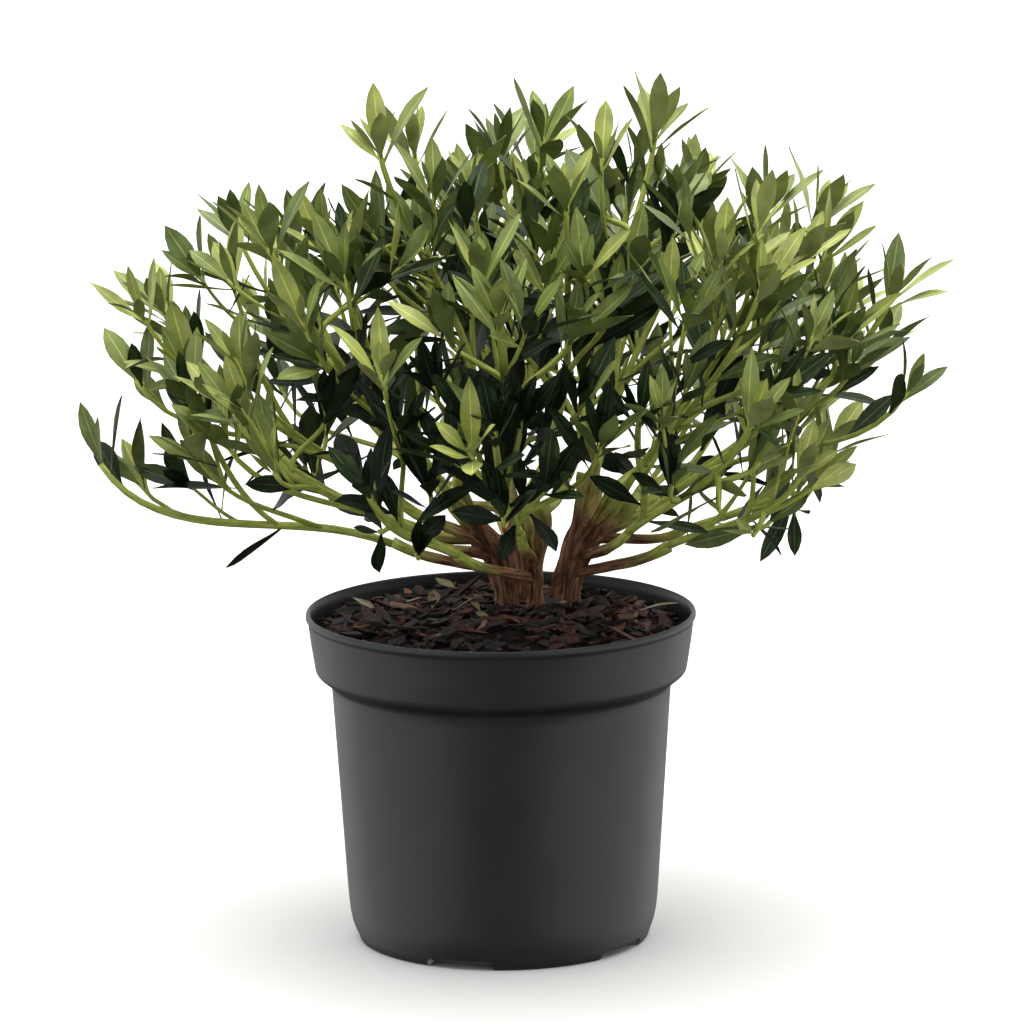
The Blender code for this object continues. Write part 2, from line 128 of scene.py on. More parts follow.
# Copies are (template, matrix, first material slot)
def joinCopies(name, copies, smooth=True):
    points, corners, sizes, slots, sharp, total = [], [], [], [], [], 0
    for template, matrix, firstSlot in copies:
        turn = np.array(matrix)
        points.append(template["points"] @ turn[:3, :3].T + turn[:3, 3])
        corners.append(template["corners"] + total)
        sizes.append(template["sizes"])
        slots.append(template["slots"] + firstSlot)
        sharp.append(template["sharp"] + total)
        total += len(template["points"])
    points, corners, sizes = np.concatenate(points), np.concatenate(corners), np.concatenate(sizes)
    mesh = bpy.data.meshes.new(name)
    mesh.vertices.add(total)
    mesh.vertices.foreach_set("co", points.ravel())
    mesh.loops.add(len(corners))
    mesh.loops.foreach_set("vertex_index", corners)
    mesh.polygons.add(len(sizes))
    mesh.polygons.foreach_set("loop_start", np.cumsum(sizes) - sizes)
    mesh.polygons.foreach_set("material_index", np.concatenate(slots))
    mesh.polygons.foreach_set("use_smooth", np.full(len(sizes), smooth))
    mesh.update(calc_edges=True)
    ends = np.empty(len(mesh.edges) * 2, int)
    mesh.edges.foreach_get("vertices", ends)
    ends = np.sort(ends.reshape(-1, 2), axis=1)
    wanted = np.sort(np.concatenate(sharp), axis=1)
    creased = np.isin(ends[:, 0] * total + ends[:, 1], wanted[:, 0] * total + wanted[:, 1])
    mesh.attributes.new("sharp_edge", "BOOLEAN", "EDGE").data.foreach_set("value", creased)
    return mesh


# Camera: straight in front and about 11 degrees above level, as the ellipse of the rim shows
cameraSet = {
    "distance": 3.0,
    "downAngle": 11.3,
    "lens": 217.4,
    "roll": -0.5,
    "aim": (0.0059, 0, 0.2106),
    "farthest": 50,  # past the floor's far corners
}


def makeCamera(values):
    camera = bpy.data.objects.new("camera", bpy.data.cameras.new("camera"))
    bpy.context.scene.collection.objects.link(camera)
    camera.data.lens = values["lens"]
    camera.data.clip_end = values["farthest"]
    down = math.radians(values["downAngle"])
    aim = Vector(values["aim"])
    camera.location = aim + values["distance"] * Vector((0, -math.cos(down), math.sin(down)))
    look = (aim - camera.location).to_track_quat("-Z", "Y").to_matrix()
    camera.rotation_euler = (look @ Matrix.Rotation(math.radians(values["roll"]), 3, "Z")).to_euler()
    bpy.context.scene.camera = camera


# Studio: a white floor under a soft room that is bright above, beside and behind, and dim in front
studioSet = {
    "floorHalf": 9.0,
    "floorColour": "#dadad8",
    "roomDim": 0.16,
    "roomBright": 1.08,
    "dimUnder": 0.18,  # of the way to the brightest side
    "brightOver": 0.72,
    "brightTowards": (0, 0.7, 0.71),
    "sideGain": 1.4,
    "belowLevel": -0.25,  # under this height the room darkens towards the floor
    "belowFade": 2.0,
    "sunPower": 4.1,
    "sunSpread": 75,
    "sunFrom": (0.03, 0.1, 1.0),
}


def makeStudio(values):
    scene = bpy.context.scene
    scene.view_settings.view_transform = "Standard"
    world = bpy.data.worlds.new("softRoom")
    world.use_nodes = True
    tree = world.node_tree
    around = addNode(tree, "ShaderNodeTexCoord", {}).outputs["Generated"]
    parts = addNode(tree, "ShaderNodeSeparateXYZ", {}, {"Vector": around}).outputs
    beside = addNode(tree, "ShaderNodeMath", {"operation": "ABSOLUTE"}, {0: parts["X"]}).outputs[0]
    gain = {"operation": "MULTIPLY", 1: values["sideGain"]}
    beside = addNode(tree, "ShaderNodeMath", gain, {0: beside}).outputs[0]
    above = addNode(
        tree, "ShaderNodeVectorMath", {"operation": "DOT_PRODUCT", 1: values["brightTowards"]}, {0: around}
    ).outputs["Value"]
    lit = addNode(tree, "ShaderNodeMath", {"operation": "MAXIMUM"}, {0: beside, 1: above}).outputs[0]
    below = {"operation": "SUBTRACT", 1: values["belowLevel"]}
    below = addNode(tree, "ShaderNodeMath", below, {0: parts["Z"]}).outputs[0]
    below = addNode(tree, "ShaderNodeMath", {"operation": "MINIMUM", 1: 0}, {0: below}).outputs[0]
    fade = {"operation": "MULTIPLY_ADD", 1: values["belowFade"]}
    lit = addNode(tree, "ShaderNodeMath", fade, {0: below, 2: lit}).outputs[0]
    levels = {
        "From Min": values["dimUnder"],
        "From Max": values["brightOver"],
        "To Min": values["roomDim"],
        "To Max": values["roomBright"],
    }
    strength = addNode(tree, "ShaderNodeMapRange", levels, {"Value": lit}).outputs["Result"]
    tree.nodes["Background"].inputs["Color"].default_value = (1, 1, 1, 1)
    tree.links.new(strength, tree.nodes["Background"].inputs["Strength"])
    scene.world = world

    sun = bpy.data.objects.new("softSun", bpy.data.lights.new("softSun", "SUN"))
    sun.data.energy = values["sunPower"]
    sun.data.angle = math.radians(values["sunSpread"])
    sun.rotation_euler = Vector(values["sunFrom"]).to_track_quat("Z", "Y").to_euler()
    scene.collection.objects.link(sun)

    bm = bmesh.new()
    bmesh.ops.create_grid(bm, x_segments=1, y_segments=1, size=values["floorHalf"])
    floor = bpy.data.objects.new("floor", meshFrom(bm, "floor", False))
    scene.collection.objects.link(floor)
    material, tree, shader = newMaterial("mattStudioPaint", roughness=0.95, specular=0.1)  # white, no gloss
    shader.inputs["Base Color"].default_value = linearColour(values["floorColour"])
    floor.data.materials.append(material)
    floor.visible_diffuse = False  # the white floor doesn't light the plant from below
    floor.visible_glossy = False


# Pot: a thin-walled nursery pot with a deep collar, a rounded foot and drainage notches
potSet = {
    "sides": 144,
    "height": 162 * mm,
    "lipRadius": 95 * mm,
    "collarTop": 94 * mm,
    "collarFoot": 90.6 * mm,
    "collarHeight": 29.5 * mm,
    "shoulder": 6 * mm,
    "bodyTop": 82.7 * mm,
    "bodyFoot": 75.6 * mm,
    "footCurve": 17 * mm,
    "foot": 71 * mm,
    "wall": 1.8 * mm,
    "floor": 2 * mm,
    "gutterRadius": 52 * mm,
    "gutterSlope": 4.5 * mm,
    "gutterFloor": 6.5 * mm,
    "notches": 5,
    "firstNotch": -107.5,  # degrees from +X
    "notchWidth": 33 * mm,
    "notchHeight": 4.5 * mm,
    "notchDepth": 24 * mm,
    "notchRound": 3 * mm,
    "crease": math.radians(50),  # edges with a sharper turn than this stay crisp
    "colours": ((0.3, "#1c1d1f"), (0.7, "#232426")),
    "roughness": (0.34, 0.48),
    "cloud": 33.3 * mm,
    "flowMark": (3.33 * mm, 40 * mm),  # across, and upwards as the melt rose
    "flowRelief": 0.3 * mm,
}


def potPlastic(p):
    # Polypropylene, injection moulded: charcoal and satin, its gloss faintly cloudy where the melt flowed
    material, tree, shader = newMaterial("mouldedPolypropylene", roughness=0.4, specular=0.5)
    place = addNode(tree, "ShaderNodeTexCoord", {}).outputs["Object"]
    clouds = {"Scale": 1 / p["cloud"], "Detail": 4}
    cloudy = addNode(tree, "ShaderNodeTexNoise", clouds, {"Vector": place}).outputs["Fac"]
    across, upwards = p["flowMark"]
    marks = {"Scale": (1 / across, 1 / across, 1 / upwards)}
    flow = addNode(tree, "ShaderNodeMapping", marks, {"Vector": place}).outputs["Vector"]
    flow = addNode(tree, "ShaderNodeTexNoise", {"Scale": 1, "Detail": 3}, {"Vector": flow}).outputs["Fac"]
    stops = {"stops": linearStops(p["colours"])}
    colour = addNode(tree, "ShaderNodeValToRGB", stops, {"Fac": cloudy}).outputs["Color"]
    smooth, dull = p["roughness"]
    gloss = addNode(tree, "ShaderNodeMapRange", {"To Min": smooth, "To Max": dull}, {"Value": cloudy})
    bump = addNode(tree, "ShaderNodeBump", {"Strength": 0.1, "Distance": p["flowRelief"]}, {"Height": flow})
    tree.links.new(colour, shader.inputs["Base Color"])
    tree.links.new(gloss.outputs["Result"], shader.inputs["Roughness"])
    tree.links.new(bump.outputs["Normal"], shader.inputs["Normal"])
    return material


# The wall's outline from the middle of the floor up inside, over the lip and down outside
def potProfile(p):
    top, edge, wall = p["height"], p["lipRadius"], p["wall"]
    collarFoot = top - p["collarHeight"]
    bodyTop = collarFoot - p["shoulder"]
    inside = [
        (0, p["floor"]),
        (p["gutterRadius"], p["floor"]),
        (p["gutterRadius"] + p["gutterSlope"], p["gutterFloor"]),
        (p["foot"] - wall, p["gutterFloor"]),
        (p["bodyFoot"] - wall, p["footCurve"]),
        (p["bodyTop"] - wall, bodyTop),
        (p["collarFoot"] - wall, collarFoot),
        (p["collarTop"] - wall - 0.2 * mm, top - 5 * mm),
        (p["collarTop"] - wall + 0.4 * mm, top - 0.9 * mm),
        (p["collarTop"] - wall + 1.2 * mm, top),
    ]
    lip = [
        (edge - 1.1 * mm, top),
        (edge - 0.3 * mm, top - 0.35 * mm),
        (edge, top - 1.2 * mm),
        (edge, top - 2.4 * mm),
        (edge - 0.35 * mm, top - 3.1 * mm),
        (p["collarTop"] + 0.15 * mm, top - 3.8 * mm),
    ]
    collar = [
        (p["collarTop"] - 0.15 * mm, top - 5 * mm),
        (p["collarTop"] - 1.3 * mm, top - 14 * mm),
        (p["collarFoot"] + 0.2 * mm, collarFoot + 3 * mm),
        (p["collarFoot"] - 0.2 * mm, collarFoot + 1.2 * mm),
    ]
    shoulder = [
        (p["collarFoot"] - 0.9 * mm, collarFoot + 0.1 * mm),
        (p["collarFoot"] - 2.4 * mm, collarFoot - 1.2 * mm),
        (p["bodyTop"] + 3.0 * mm, collarFoot - 3.0 * mm),
        (p["bodyTop"] + 1.0 * mm, collarFoot - 4.4 * mm),
    ]
    body = [
        (p["bodyTop"] + 0.1 * mm, bodyTop - 0.4 * mm),
        (p["bodyTop"] - 0.3 * mm, bodyTop - 5 * mm),
        ((p["bodyTop"] + p["bodyFoot"]) / 2, (bodyTop + p["footCurve"]) / 2),
        (p["bodyFoot"] + 0.15 * mm, p["footCurve"] + 3 * mm),
    ]
    foot = [
        (p["bodyFoot"] - 0.5 * mm, p["footCurve"] - 3 * mm),
        (p["bodyFoot"] - 1.5 * mm, p["footCurve"] - 8 * mm),
        (p["foot"] + 1.5 * mm, 4.5 * mm),
        (p["foot"] + 0.5 * mm, 1.2 * mm),
        (p["foot"] - 0.4 * mm, 0.2 * mm),
        (p["foot"] - 1.4 * mm, 0),
        (0, 0),
    ]
    return inside + lip + collar + shoulder + body + foot


def turnProfile(profile, sides):
    bm = bmesh.new()
    points = [bm.verts.new((radius, 0, height)) for radius, height in profile]
    edges = [bm.edges.new(pair) for pair in zip(points, points[1:])]
    bmesh.ops.spin(
        bm, geom=points + edges, cent=(0, 0, 0), axis=(0, 0, 1), angle=math.tau, steps=sides, use_merge=True
    )
    bmesh.ops.remove_doubles(bm, verts=bm.verts, dist=0.001 * mm)
    bmesh.ops.recalc_face_normals(bm, faces=bm.faces)
    return bm


def notchCutter(p, number):
    bm = bmesh.new()
    bmesh.ops.create_cube(bm, size=1)
    block = Matrix.Diagonal((p["notchDepth"], p["notchWidth"], 2 * p["notchHeight"], 1))
    bmesh.ops.transform(bm, matrix=block, verts=bm.verts)
    spans = [abs(edge.verts[0].co.x - edge.verts[1].co.x) for edge in bm.edges]
    inwards = [edge for edge, span in zip(bm.edges, spans) if span > p["notchDepth"] / 2]
    rounding = {"offset": p["notchRound"], "segments": 4, "profile": 0.5, "affect": "EDGES", "material": -1}
    bmesh.ops.bevel(bm, geom=inwards, **rounding)
    turn = Matrix.Rotation(math.radians(p["firstNotch"] + number * 360 / p["notches"]), 4, "Z")
    bmesh.ops.transform(bm, matrix=turn @ Matrix.Translation((p["foot"], 0, 0)), verts=bm.verts)
    cutter = bpy.data.objects.new("notch", meshFrom(bm, "notch", False))
    bpy.context.scene.collection.objects.link(cutter)
    return cutter


def makePot(p):
    blank = bpy.data.objects.new("potBlank", meshFrom(turnProfile(potProfile(p), p["sides"]), "potBlank"))
    bpy.context.scene.collection.objects.link(blank)
    cutters = [notchCutter(p, number) for number in range(p["notches"])]
    for cutter in cutters:
        cut = blank.modifiers.new("notch", "BOOLEAN")
        cut.operation = "DIFFERENCE"
        cut.object = cutter
    bpy.context.view_layer.update()
    finished = blank.evaluated_get(bpy.context.evaluated_depsgraph_get())
    mesh = bpy.data.meshes.new_from_object(finished)
    mesh.materials.clear()
    for spare in [blank, *cutters]:
        bpy.data.objects.remove(spare)
    bm = bmesh.new()
    bm.from_mesh(mesh)
    for edge in bm.edges:
        edge.smooth = edge.is_manifold and edge.calc_face_angle(0) < p["crease"]
    bm.to_mesh(mesh)
    bm.free()
    addPiece("nurseryPot", mesh, [potPlastic(p)], ["pot"])


# Compost: a crumbly mound, with bark chips and a few fallen leaves lying on it
compostSet = {
    "sides": 120,
    "rings": 34,
    "top": 163 * mm,
    "mound": 46 * mm,
    "moundFoot": 72 * mm,
    "moundFootHeight": 155.5 * mm,
    "edge": 91 * mm,
    "edgeHeight": 152 * mm,
    "clearance": 0.3 * mm,  # inside the pot's wall
    "rough": 2.4 * mm,
    "lumps": ((90, 0.7), (260, 0.5)),  # how many to a metre, and their share of the roughness
    "settled": 0.8 * mm,
    "colours": ((0.35, "#080504"), (0.6, "#190e0b"), (0.8, "#38221a")),
    "crumb": 2.38 * mm,
    "relief": 2 * mm,
}


def compostHeight(c, x, y):
    radius = math.hypot(x, y)
    stops = (
        (0, c["top"]),
        (c["mound"], c["top"]),
        (c["moundFoot"], c["moundFootHeight"]),
        (c["edge"] + mm, c["edgeHeight"]),
    )
    height = c["edgeHeight"]
    for (near, nearHeight), (far, farHeight) in zip(stops, stops[1:]):
        if near <= radius <= far:
            height = nearHeight + (farHeight - nearHeight) * (radius - near) / (far - near)
    spot = Vector((x, y, 0))
    lumpy = sum(share * noise.noise(spot * rate) for rate, share in c["lumps"])
    return height + c["rough"] * lumpy - c["settled"]


def dampCompost(c):
    # Bark compost, damp: near-black and crumbly, with a few red-brown fibres
    material, tree, shader = newMaterial("dampBarkCompost", roughness=0.9, specular=0.3)
    place = addNode(tree, "ShaderNodeTexCoord", {}).outputs["Object"]
    texture = {"Scale": 1 / c["crumb"], "Detail": 6, "Roughness": 0.7}
    crumbs = addNode(tree, "ShaderNodeTexNoise", texture, {"Vector": place}).outputs["Fac"]
    stops = {"stops": linearStops(c["colours"])}
    colour = addNode(tree, "ShaderNodeValToRGB", stops, {"Fac": crumbs}).outputs["Color"]
    bump = addNode(tree, "ShaderNodeBump", {"Strength": 1, "Distance": c["relief"]}, {"Height": crumbs})
    tree.links.new(colour, shader.inputs["Base Color"])
    tree.links.new(bump.outputs["Normal"], shader.inputs["Normal"])
    return material


# The mound's top is level when it is turned, then takes its heights; the rest follows the pot's inside
def makeCompost(c, p):
    gap = c["clearance"]
    inset = p["wall"] + gap
    collarFoot = p["height"] - p["collarHeight"]
    profile = [(c["edge"] * ring / c["rings"], c["top"]) for ring in range(c["rings"] + 1)]
    profile += [
        (p["collarFoot"] - inset, collarFoot),
        (p["bodyTop"] - inset, collarFoot - p["shoulder"]),
        (p["bodyFoot"] - inset, p["footCurve"]),
        (p["foot"] - inset, p["gutterFloor"] + gap),
        (p["gutterRadius"] + p["gutterSlope"], p["gutterFloor"] + gap),
        (p["gutterRadius"] - gap, p["floor"] + gap),
        (0, p["floor"] + gap),
    ]
    bm = turnProfile(profile, c["sides"])
    for vert in bm.verts:
        if vert.co.z > c["top"] - 0.1 * mm:
            vert.co.z = compostHeight(c, vert.co.x, vert.co.y)
    addPiece("compost", meshFrom(bm, "compost"), [dampCompost(c)], ["root_ball"])


# Bark chips lie loose on the compost, and a few sink into it
chipSet = {
    "seed": 23,
    "count": 950,
    "shapes": 14,
    "corners": (5, 6, 7),
    "ragged": (0.14, 0.14, 0.12),  # how far a corner strays, as a share of the chip's size
    "length": (6, 30),  # mm
    "shortened": (0.45, 1),
    "width": (2.6, 7.0),
    "fullWidthFrom": 9 * mm,  # shorter chips are narrower too
    "thickness": (0.8, 2.0),
    "edgeGap": 1.5 * mm,
    "above": (-0.4, 1.0),
    "tilts": (0.35, 0.24),
    "colours": ("#120907", "#23120e", "#3a1f18", "#573327", "#8a6853"),
    "shares": (6, 7, 5, 2.4, 0.8),
    "fibre": 2.22 * mm,
    "fibreGains": (0.5, 1.5),
}


def barkChip(values, number, colour):
    # Pine bark, milled: dull and fibrous, paler where it has split
    material, tree, shader = newMaterial(f"milledPineBark{number + 1}", roughness=0.7, specular=0.4)
    place = addNode(tree, "ShaderNodeTexCoord", {}).outputs["Object"]
    texture = {"Scale": 1 / values["fibre"], "Detail": 4}
    fibre = addNode(tree, "ShaderNodeTexNoise", texture, {"Vector": place}).outputs["Fac"]
    dark, pale = values["fibreGains"]
    stops = ((0.35, linearColour(colour, dark)), (0.7, linearColour(colour, pale)))
    tint = addNode(tree, "ShaderNodeValToRGB", {"stops": stops}, {"Fac": fibre}).outputs["Color"]
    tree.links.new(tint, shader.inputs["Base Color"])
    return material


def chipTemplate(values, rng):
    bm = bmesh.new()
    corners = rng.choice(values["corners"])
    disc = bmesh.ops.create_circle(bm, cap_ends=True, segments=corners, radius=0.5)["verts"]
    grown = bmesh.ops.extrude_face_region(bm, geom=list(bm.faces) + list(bm.edges))["geom"]
    top = [item for item in grown if isinstance(item, bmesh.types.BMVert)]
    for vert in disc + top:
        vert.co += Vector([rng.uniform(-most, most) for most in values["ragged"]])
    for vert in top:
        vert.co.z += 1
    bmesh.ops.recalc_face_normals(bm, faces=bm.faces)
    return asTemplate(bm)


def makeChips(values, c):
    rng = random.Random(values["seed"])
    shapes = [chipTemplate(values, rng) for shape in range(values["shapes"])]
    rollSpread, pitchSpread = values["tilts"]
    copies = []
    for number in range(values["count"]):
        length = rng.uniform(*values["length"]) * rng.uniform(*values["shortened"]) * mm
        width = rng.uniform(*values["width"]) * mm * min(1, length / values["fullWidthFrom"])
        radius = min(c["edge"] * math.sqrt(rng.random()), c["edge"] - values["edgeGap"] - length / 2)
        angle = rng.uniform(0, math.tau)
        x, y = radius * math.cos(angle), radius * math.sin(angle)
        place = Matrix.Translation((x, y, compostHeight(c, x, y) + rng.uniform(*values["above"]) * mm))
        spin = Matrix.Rotation(rng.uniform(0, math.tau), 4, "Z")
        roll = Matrix.Rotation(rng.gauss(0, rollSpread), 4, "X")
        tilt = roll @ Matrix.Rotation(rng.gauss(0, pitchSpread), 4, "Y")
        size = Matrix.Diagonal((length, width, rng.uniform(*values["thickness"]) * mm, 1))
        shade = rng.choices(range(len(values["colours"])), values["shares"])[0]
        copies.append((rng.choice(shapes), place @ spin @ tilt @ size, shade))
    materials = [barkChip(values, number, colour) for number, colour in enumerate(values["colours"])]
    addPiece("barkChips", joinCopies("barkChips", copies, False), materials)


# Growing plan: the numbers of the part's solids, then how the scene's leaves and low spray differ
plan = {
    "clump": Vector((19 * mm, 8 * mm, 163.3 * mm)),
    "stems": 5,
    "firstStem": math.radians(46),
    "stemRing": 16.5 * mm,
    "stemHeight": 58 * mm,
    "stemLean": math.radians(22),
    "stemStations": (0, 0.13, 0.5, 1),
    "rings": (  # where the boughs end, then azimuth, angle from the vertical and the leader's reach in mm
        (92 * mm, ((18, 15, 234), (103, 20, 222), (196, 19, 238), (283, 17, 214))),
        (88 * mm, ((5, 36, 226), (56, 38, 230), (108, 40, 222), (159, 42, 226),
                   (211, 38, 232), (262, 39, 205), (314, 41, 220))),
        (85 * mm, ((352, 48, 222), (37, 57, 218), (82, 60, 218), (127, 57, 218),
                   (174, 52, 222), (217, 57, 200), (262, 53, 176), (307, 55, 190))),
        (80 * mm, ((190, 64, 225), (236, 61, 152), (330, 62, 150), (12, 64, 150),
                   (60, 68, 182), (104, 69, 182), (146, 66, 180))),
    ),
    "boughRadius": 2.7 * mm,
    "boughDip": math.radians(1.5),
    "boughLift": 0.12,
    "leadOverlap": 1.5 * mm,  # how deep a stem's last bough starts in it
    "jointGap": 0.3 * mm,  # between a bough's end and the leader it carries
    "lowestFork": 0.28,
    "forkAngles": (math.radians(72), math.radians(40)),
    "seed": 41,
    "sideShoots": 5,
    "firstSideShoot": 0.09,
    "lastSideShoot": 0.66,
    "shootRadius": 1.5 * mm,
    "shootSpread": (math.radians(7), math.radians(16)),
    "spreadLoss": 0.3,  # the highest side shoots spread less by this share
    "shootReach": (0.78, 0.97),
    "shootAttempts": 8,
    "shootTests": 6,
    "leaderLift": 0.35,
    "sideLift": 0.4,
    "sideHaste": 0.8,  # how strongly a side shoot leaves for its own end
    "longestSide": 235 * mm,
    "spaceMargin": 0.35 * mm,
    "limbMargin": 1.2 * mm,
    "lowestLeaf": 177 * mm,
    "frontLift": 0.25,
    "skirtStart": 118 * mm,  # from here outwards the crown's underside rises
    "skirtRise": 9.5,
    "leafSlopes": (0.4, 1.18),  # the leaves' underside rises less at the back and front than at the sides
    "hangingSpray": 190,  # only the mass at this azimuth hangs below it, on fewer and barer shoots
    "sprayShoots": 3,
    "spraySag": 26 * mm,
    "sprayLeaves": 32 * mm,  # how far its leaves hang below the crown's underside
}


def direction(polar, azimuth):
    flat = math.sin(polar)
    return Vector((flat * math.cos(azimuth), flat * math.sin(azimuth), math.cos(polar)))


def bezier(start, startDirection, end, endDirection, steps, pull=0.36):
    arm = pull * (end - start).length
    first = start + arm * startDirection.normalized()
    second = end - arm * endDirection.normalized()
    points = []
    for step in range(steps + 1):
        t = step / steps
        s = 1 - t
        points.append(s**3 * start + 3 * s * s * t * first + 3 * s * t * t * second + t**3 * end)
    return points


def along(path, share):
    lengths = [(b - a).length for a, b in zip(path, path[1:])]
    left = share * sum(lengths)
    for a, b, length in zip(path, path[1:], lengths):
        if left <= length or b is path[-1]:
            return a + (b - a) * (left / length), (b - a).normalized()
        left -= length


def growStems(p):
    stems = []
    for number in range(p["stems"]):
        azimuth = p["firstStem"] + number * math.tau / p["stems"]
        foot = p["clump"] + p["stemRing"] * direction(math.pi / 2, azimuth)
        lean = direction(p["stemLean"], azimuth)
        top = foot + p["stemHeight"] * (lean / math.cos(p["stemLean"]))
        curve = bezier(foot, up, top, lean, steps=8)
        path = [along(curve, share)[0] for share in p["stemStations"]]
        stems.append({"azimuth": azimuth, "path": path, "curve": curve})
    return stems


# Each bough keeps the solid's coarse path for the tests, and a finer one that is drawn
def growBoughs(p, stems):
    boughs = []
    for end, ring in p["rings"]:
        for azimuth, polar, reach in ring:
            bough = {"azimuth": math.radians(azimuth), "polar": math.radians(polar)}
            bough.update({"end": end, "reach": reach * mm, "hangs": azimuth == p["hangingSpray"]})
            bough["aside"] = abs(math.cos(bough["azimuth"]))  # 0 in front and behind, 1 at the sides
            boughs.append(bough)
    for stem in stems:
        own = [b for b in boughs if max(stems, key=lambda s: math.cos(s["azimuth"] - b["azimuth"])) is stem]
        own.sort(key=lambda bough: -bough["polar"])
        for place, bough in enumerate(own):
            leads = place == len(own) - 1
            rise = place / len(own)
            share = 1 if leads else p["lowestFork"] + (1 - p["lowestFork"]) * rise
            start, heading = along(stem["path"], share)
            if leads:
                start = start - p["leadOverlap"] * heading
            else:
                low, high = p["forkAngles"]
                heading = direction(low + rise * (high - low), bough["azimuth"])
            end = p["clump"] + bough["end"] * direction(bough["polar"] + p["boughDip"], bough["azimuth"])
            arrival = direction(bough["polar"], bough["azimuth"]) + p["boughLift"] * up
            bough["path"] = bezier(start, heading, end, arrival, steps=3)
            bough["curve"] = bezier(start, heading, end, arrival, steps=14)
    return boughs


# Points along all boughs, to find how near a shoot comes to the next bough
def limbTree(boughs, steps=24):
    tree = KDTree(len(boughs) * steps)
    for number, bough in enumerate(boughs):
        for step in range(steps):
            tree.insert(along(bough["path"], step / steps)[0], number * steps + step)
    tree.balance()
    return tree


# The crown's underside: low round the clump, higher in front, and rising outwards as a vase does
def skirtHeight(p, point):
    offset = point - p["clump"]
    outer = max(0, math.hypot(offset.x, offset.y) - p["skirtStart"])
    return p["lowestLeaf"] + p["frontLift"] * max(0, -offset.y) + p["skirtRise"] * outer**2


# What the leaves keep above: a straighter underside than the solids', and a lower one at the spray
def leafFloor(p, bough, point):
    if bough["hangs"]:
        return skirtHeight(p, point) - p["sprayLeaves"]
    offset = point - p["clump"]
    radius = max(mm, math.hypot(offset.x, offset.y))
    low, high = p["leafSlopes"]
    slope = low + (high - low) * (offset.x / radius) ** 2
    lowest = p["lowestLeaf"] + p["frontLift"] * max(0, -offset.y)
    return lowest + slope * max(0, radius - p["skirtStart"])


# Each mass keeps to the directions from the clump that lie nearest its own line
def spaceOf(p, bough, boughs, limbs):
    own = direction(bough["polar"], bough["azimuth"])
    others = [direction(other["polar"], other["azimuth"]) for other in boughs if other is not bough]
    sides = [(own - other).normalized() for other in others]

    def holds(points, radius):
        for point in points:
            offset = point - p["clump"]
            if point.z - radius < skirtHeight(p, point):
                return False
            if any(offset.dot(side) < p["spaceMargin"] + radius for side in sides):
                return False
            if limbs.find(point)[2] < p["boughRadius"] + p["limbMargin"] + radius:
                return False
        return True

    return holds


# Shoots: the solids' leader and side shoots, a little longer where they lean out, and turned up at the end
shootSet = {
    "growOn": (-2 * mm, 14 * mm),  # past the solids' shoots, on upright masses and on level ones
    "turnUp": 0.75,
    "leaderRadii": (2.1 * mm, 1.8 * mm, 1.3 * mm),
    "sideRadii": (1.5 * mm, 1.3 * mm, 1.0 * mm),
    "twigRadii": (1.1 * mm, 0.9 * mm, 0.8 * mm),
    "rootOverlap": 0.6 * mm,
    "twigSeed": 900,
    "twigPlaces": {"leader": (0.36, 0.54, 0.7), "side": (0.5, 0.7)},
    "twigLength": (34 * mm, 58 * mm),
    "twigAngle": (26, 42),
    "twigLift": 0.25,
    "twigTurn": (0.3, 0.5),  # its end turns towards its shoot's line and upwards by these
    "twigTests": (0.6, 1),  # where along it there has to be this much room
    "twigRoom": mm,
    "twigClearance": 8 * mm,  # above the crown's underside, or the twig would be bare
    "twigChance": (0.46, 0.24),  # in the middle of the crown and at its sides, seen from the front
}


def growShoots(s, p, bough, holds, rng):
    line = direction(bough["polar"], bough["azimuth"])
    heading = (bough["path"][-1] - bough["path"][-2]).normalized()
    start = bough["path"][-1] + p["jointGap"] * heading
    lean = math.sin(bough["polar"])
    lift = s["turnUp"] * lean * up
    arrival = line + p["leaderLift"] * up
    solid = bezier(start, heading, p["clump"] + bough["reach"] * line, arrival, steps=3)
    upright, level = s["growOn"]
    growOn = upright + (level - upright) * lean
    tip = p["clump"] + (bough["reach"] + growOn) * line
    if bough["hangs"]:
        tip -= p["spraySag"] * up
    curve = bezier(start - s["rootOverlap"] * heading, heading, tip, arrival + lift, steps=16)
    shoots = [{"kind": "leader", "curve": curve, "radii": s["leaderRadii"], "bough": bough}]
    tiltAxis = line.orthogonal().normalized()
    roll = rng.uniform(0, math.tau)
    for number in range(p["sideShoots"]):
        share = number / (p["sideShoots"] - 1)
        fork = p["firstSideShoot"] + share * (p["lastSideShoot"] - p["firstSideShoot"])
        root, rootHeading = along(solid, fork)
        for attempt in range(p["shootAttempts"]):
            roll += goldenAngle
            spread = rng.uniform(*p["shootSpread"]) * (1 - p["spreadLoss"] * share)
            towards = Matrix.Rotation(roll, 3, line) @ Matrix.Rotation(spread, 3, tiltAxis) @ line
            reach = min(bough["reach"], p["longestSide"]) * rng.uniform(*p["shootReach"])
            end = p["clump"] + reach * towards
            leaving = rootHeading + p["sideHaste"] * (end - root).normalized()
            arrival = towards + p["sideLift"] * up
            path = bezier(root, leaving, end, arrival, steps=2)
            tests = [along(path, step / p["shootTests"])[0] for step in range(1, p["shootTests"] + 1)]
            if holds(tests, p["shootRadius"]):
                grownRoot = along(curve, fork)[0]
                grownEnd = end + growOn * towards
                spare = bough["hangs"] and number >= p["sprayShoots"]
                if spare or grownEnd.z < leafFloor(p, bough, grownEnd):
                    break
                drawn = bezier(grownRoot, leaving, grownEnd, arrival + lift, steps=10)
                shoots.append({"kind": "side", "curve": drawn, "radii": s["sideRadii"], "bough": bough})
                break
    return shoots


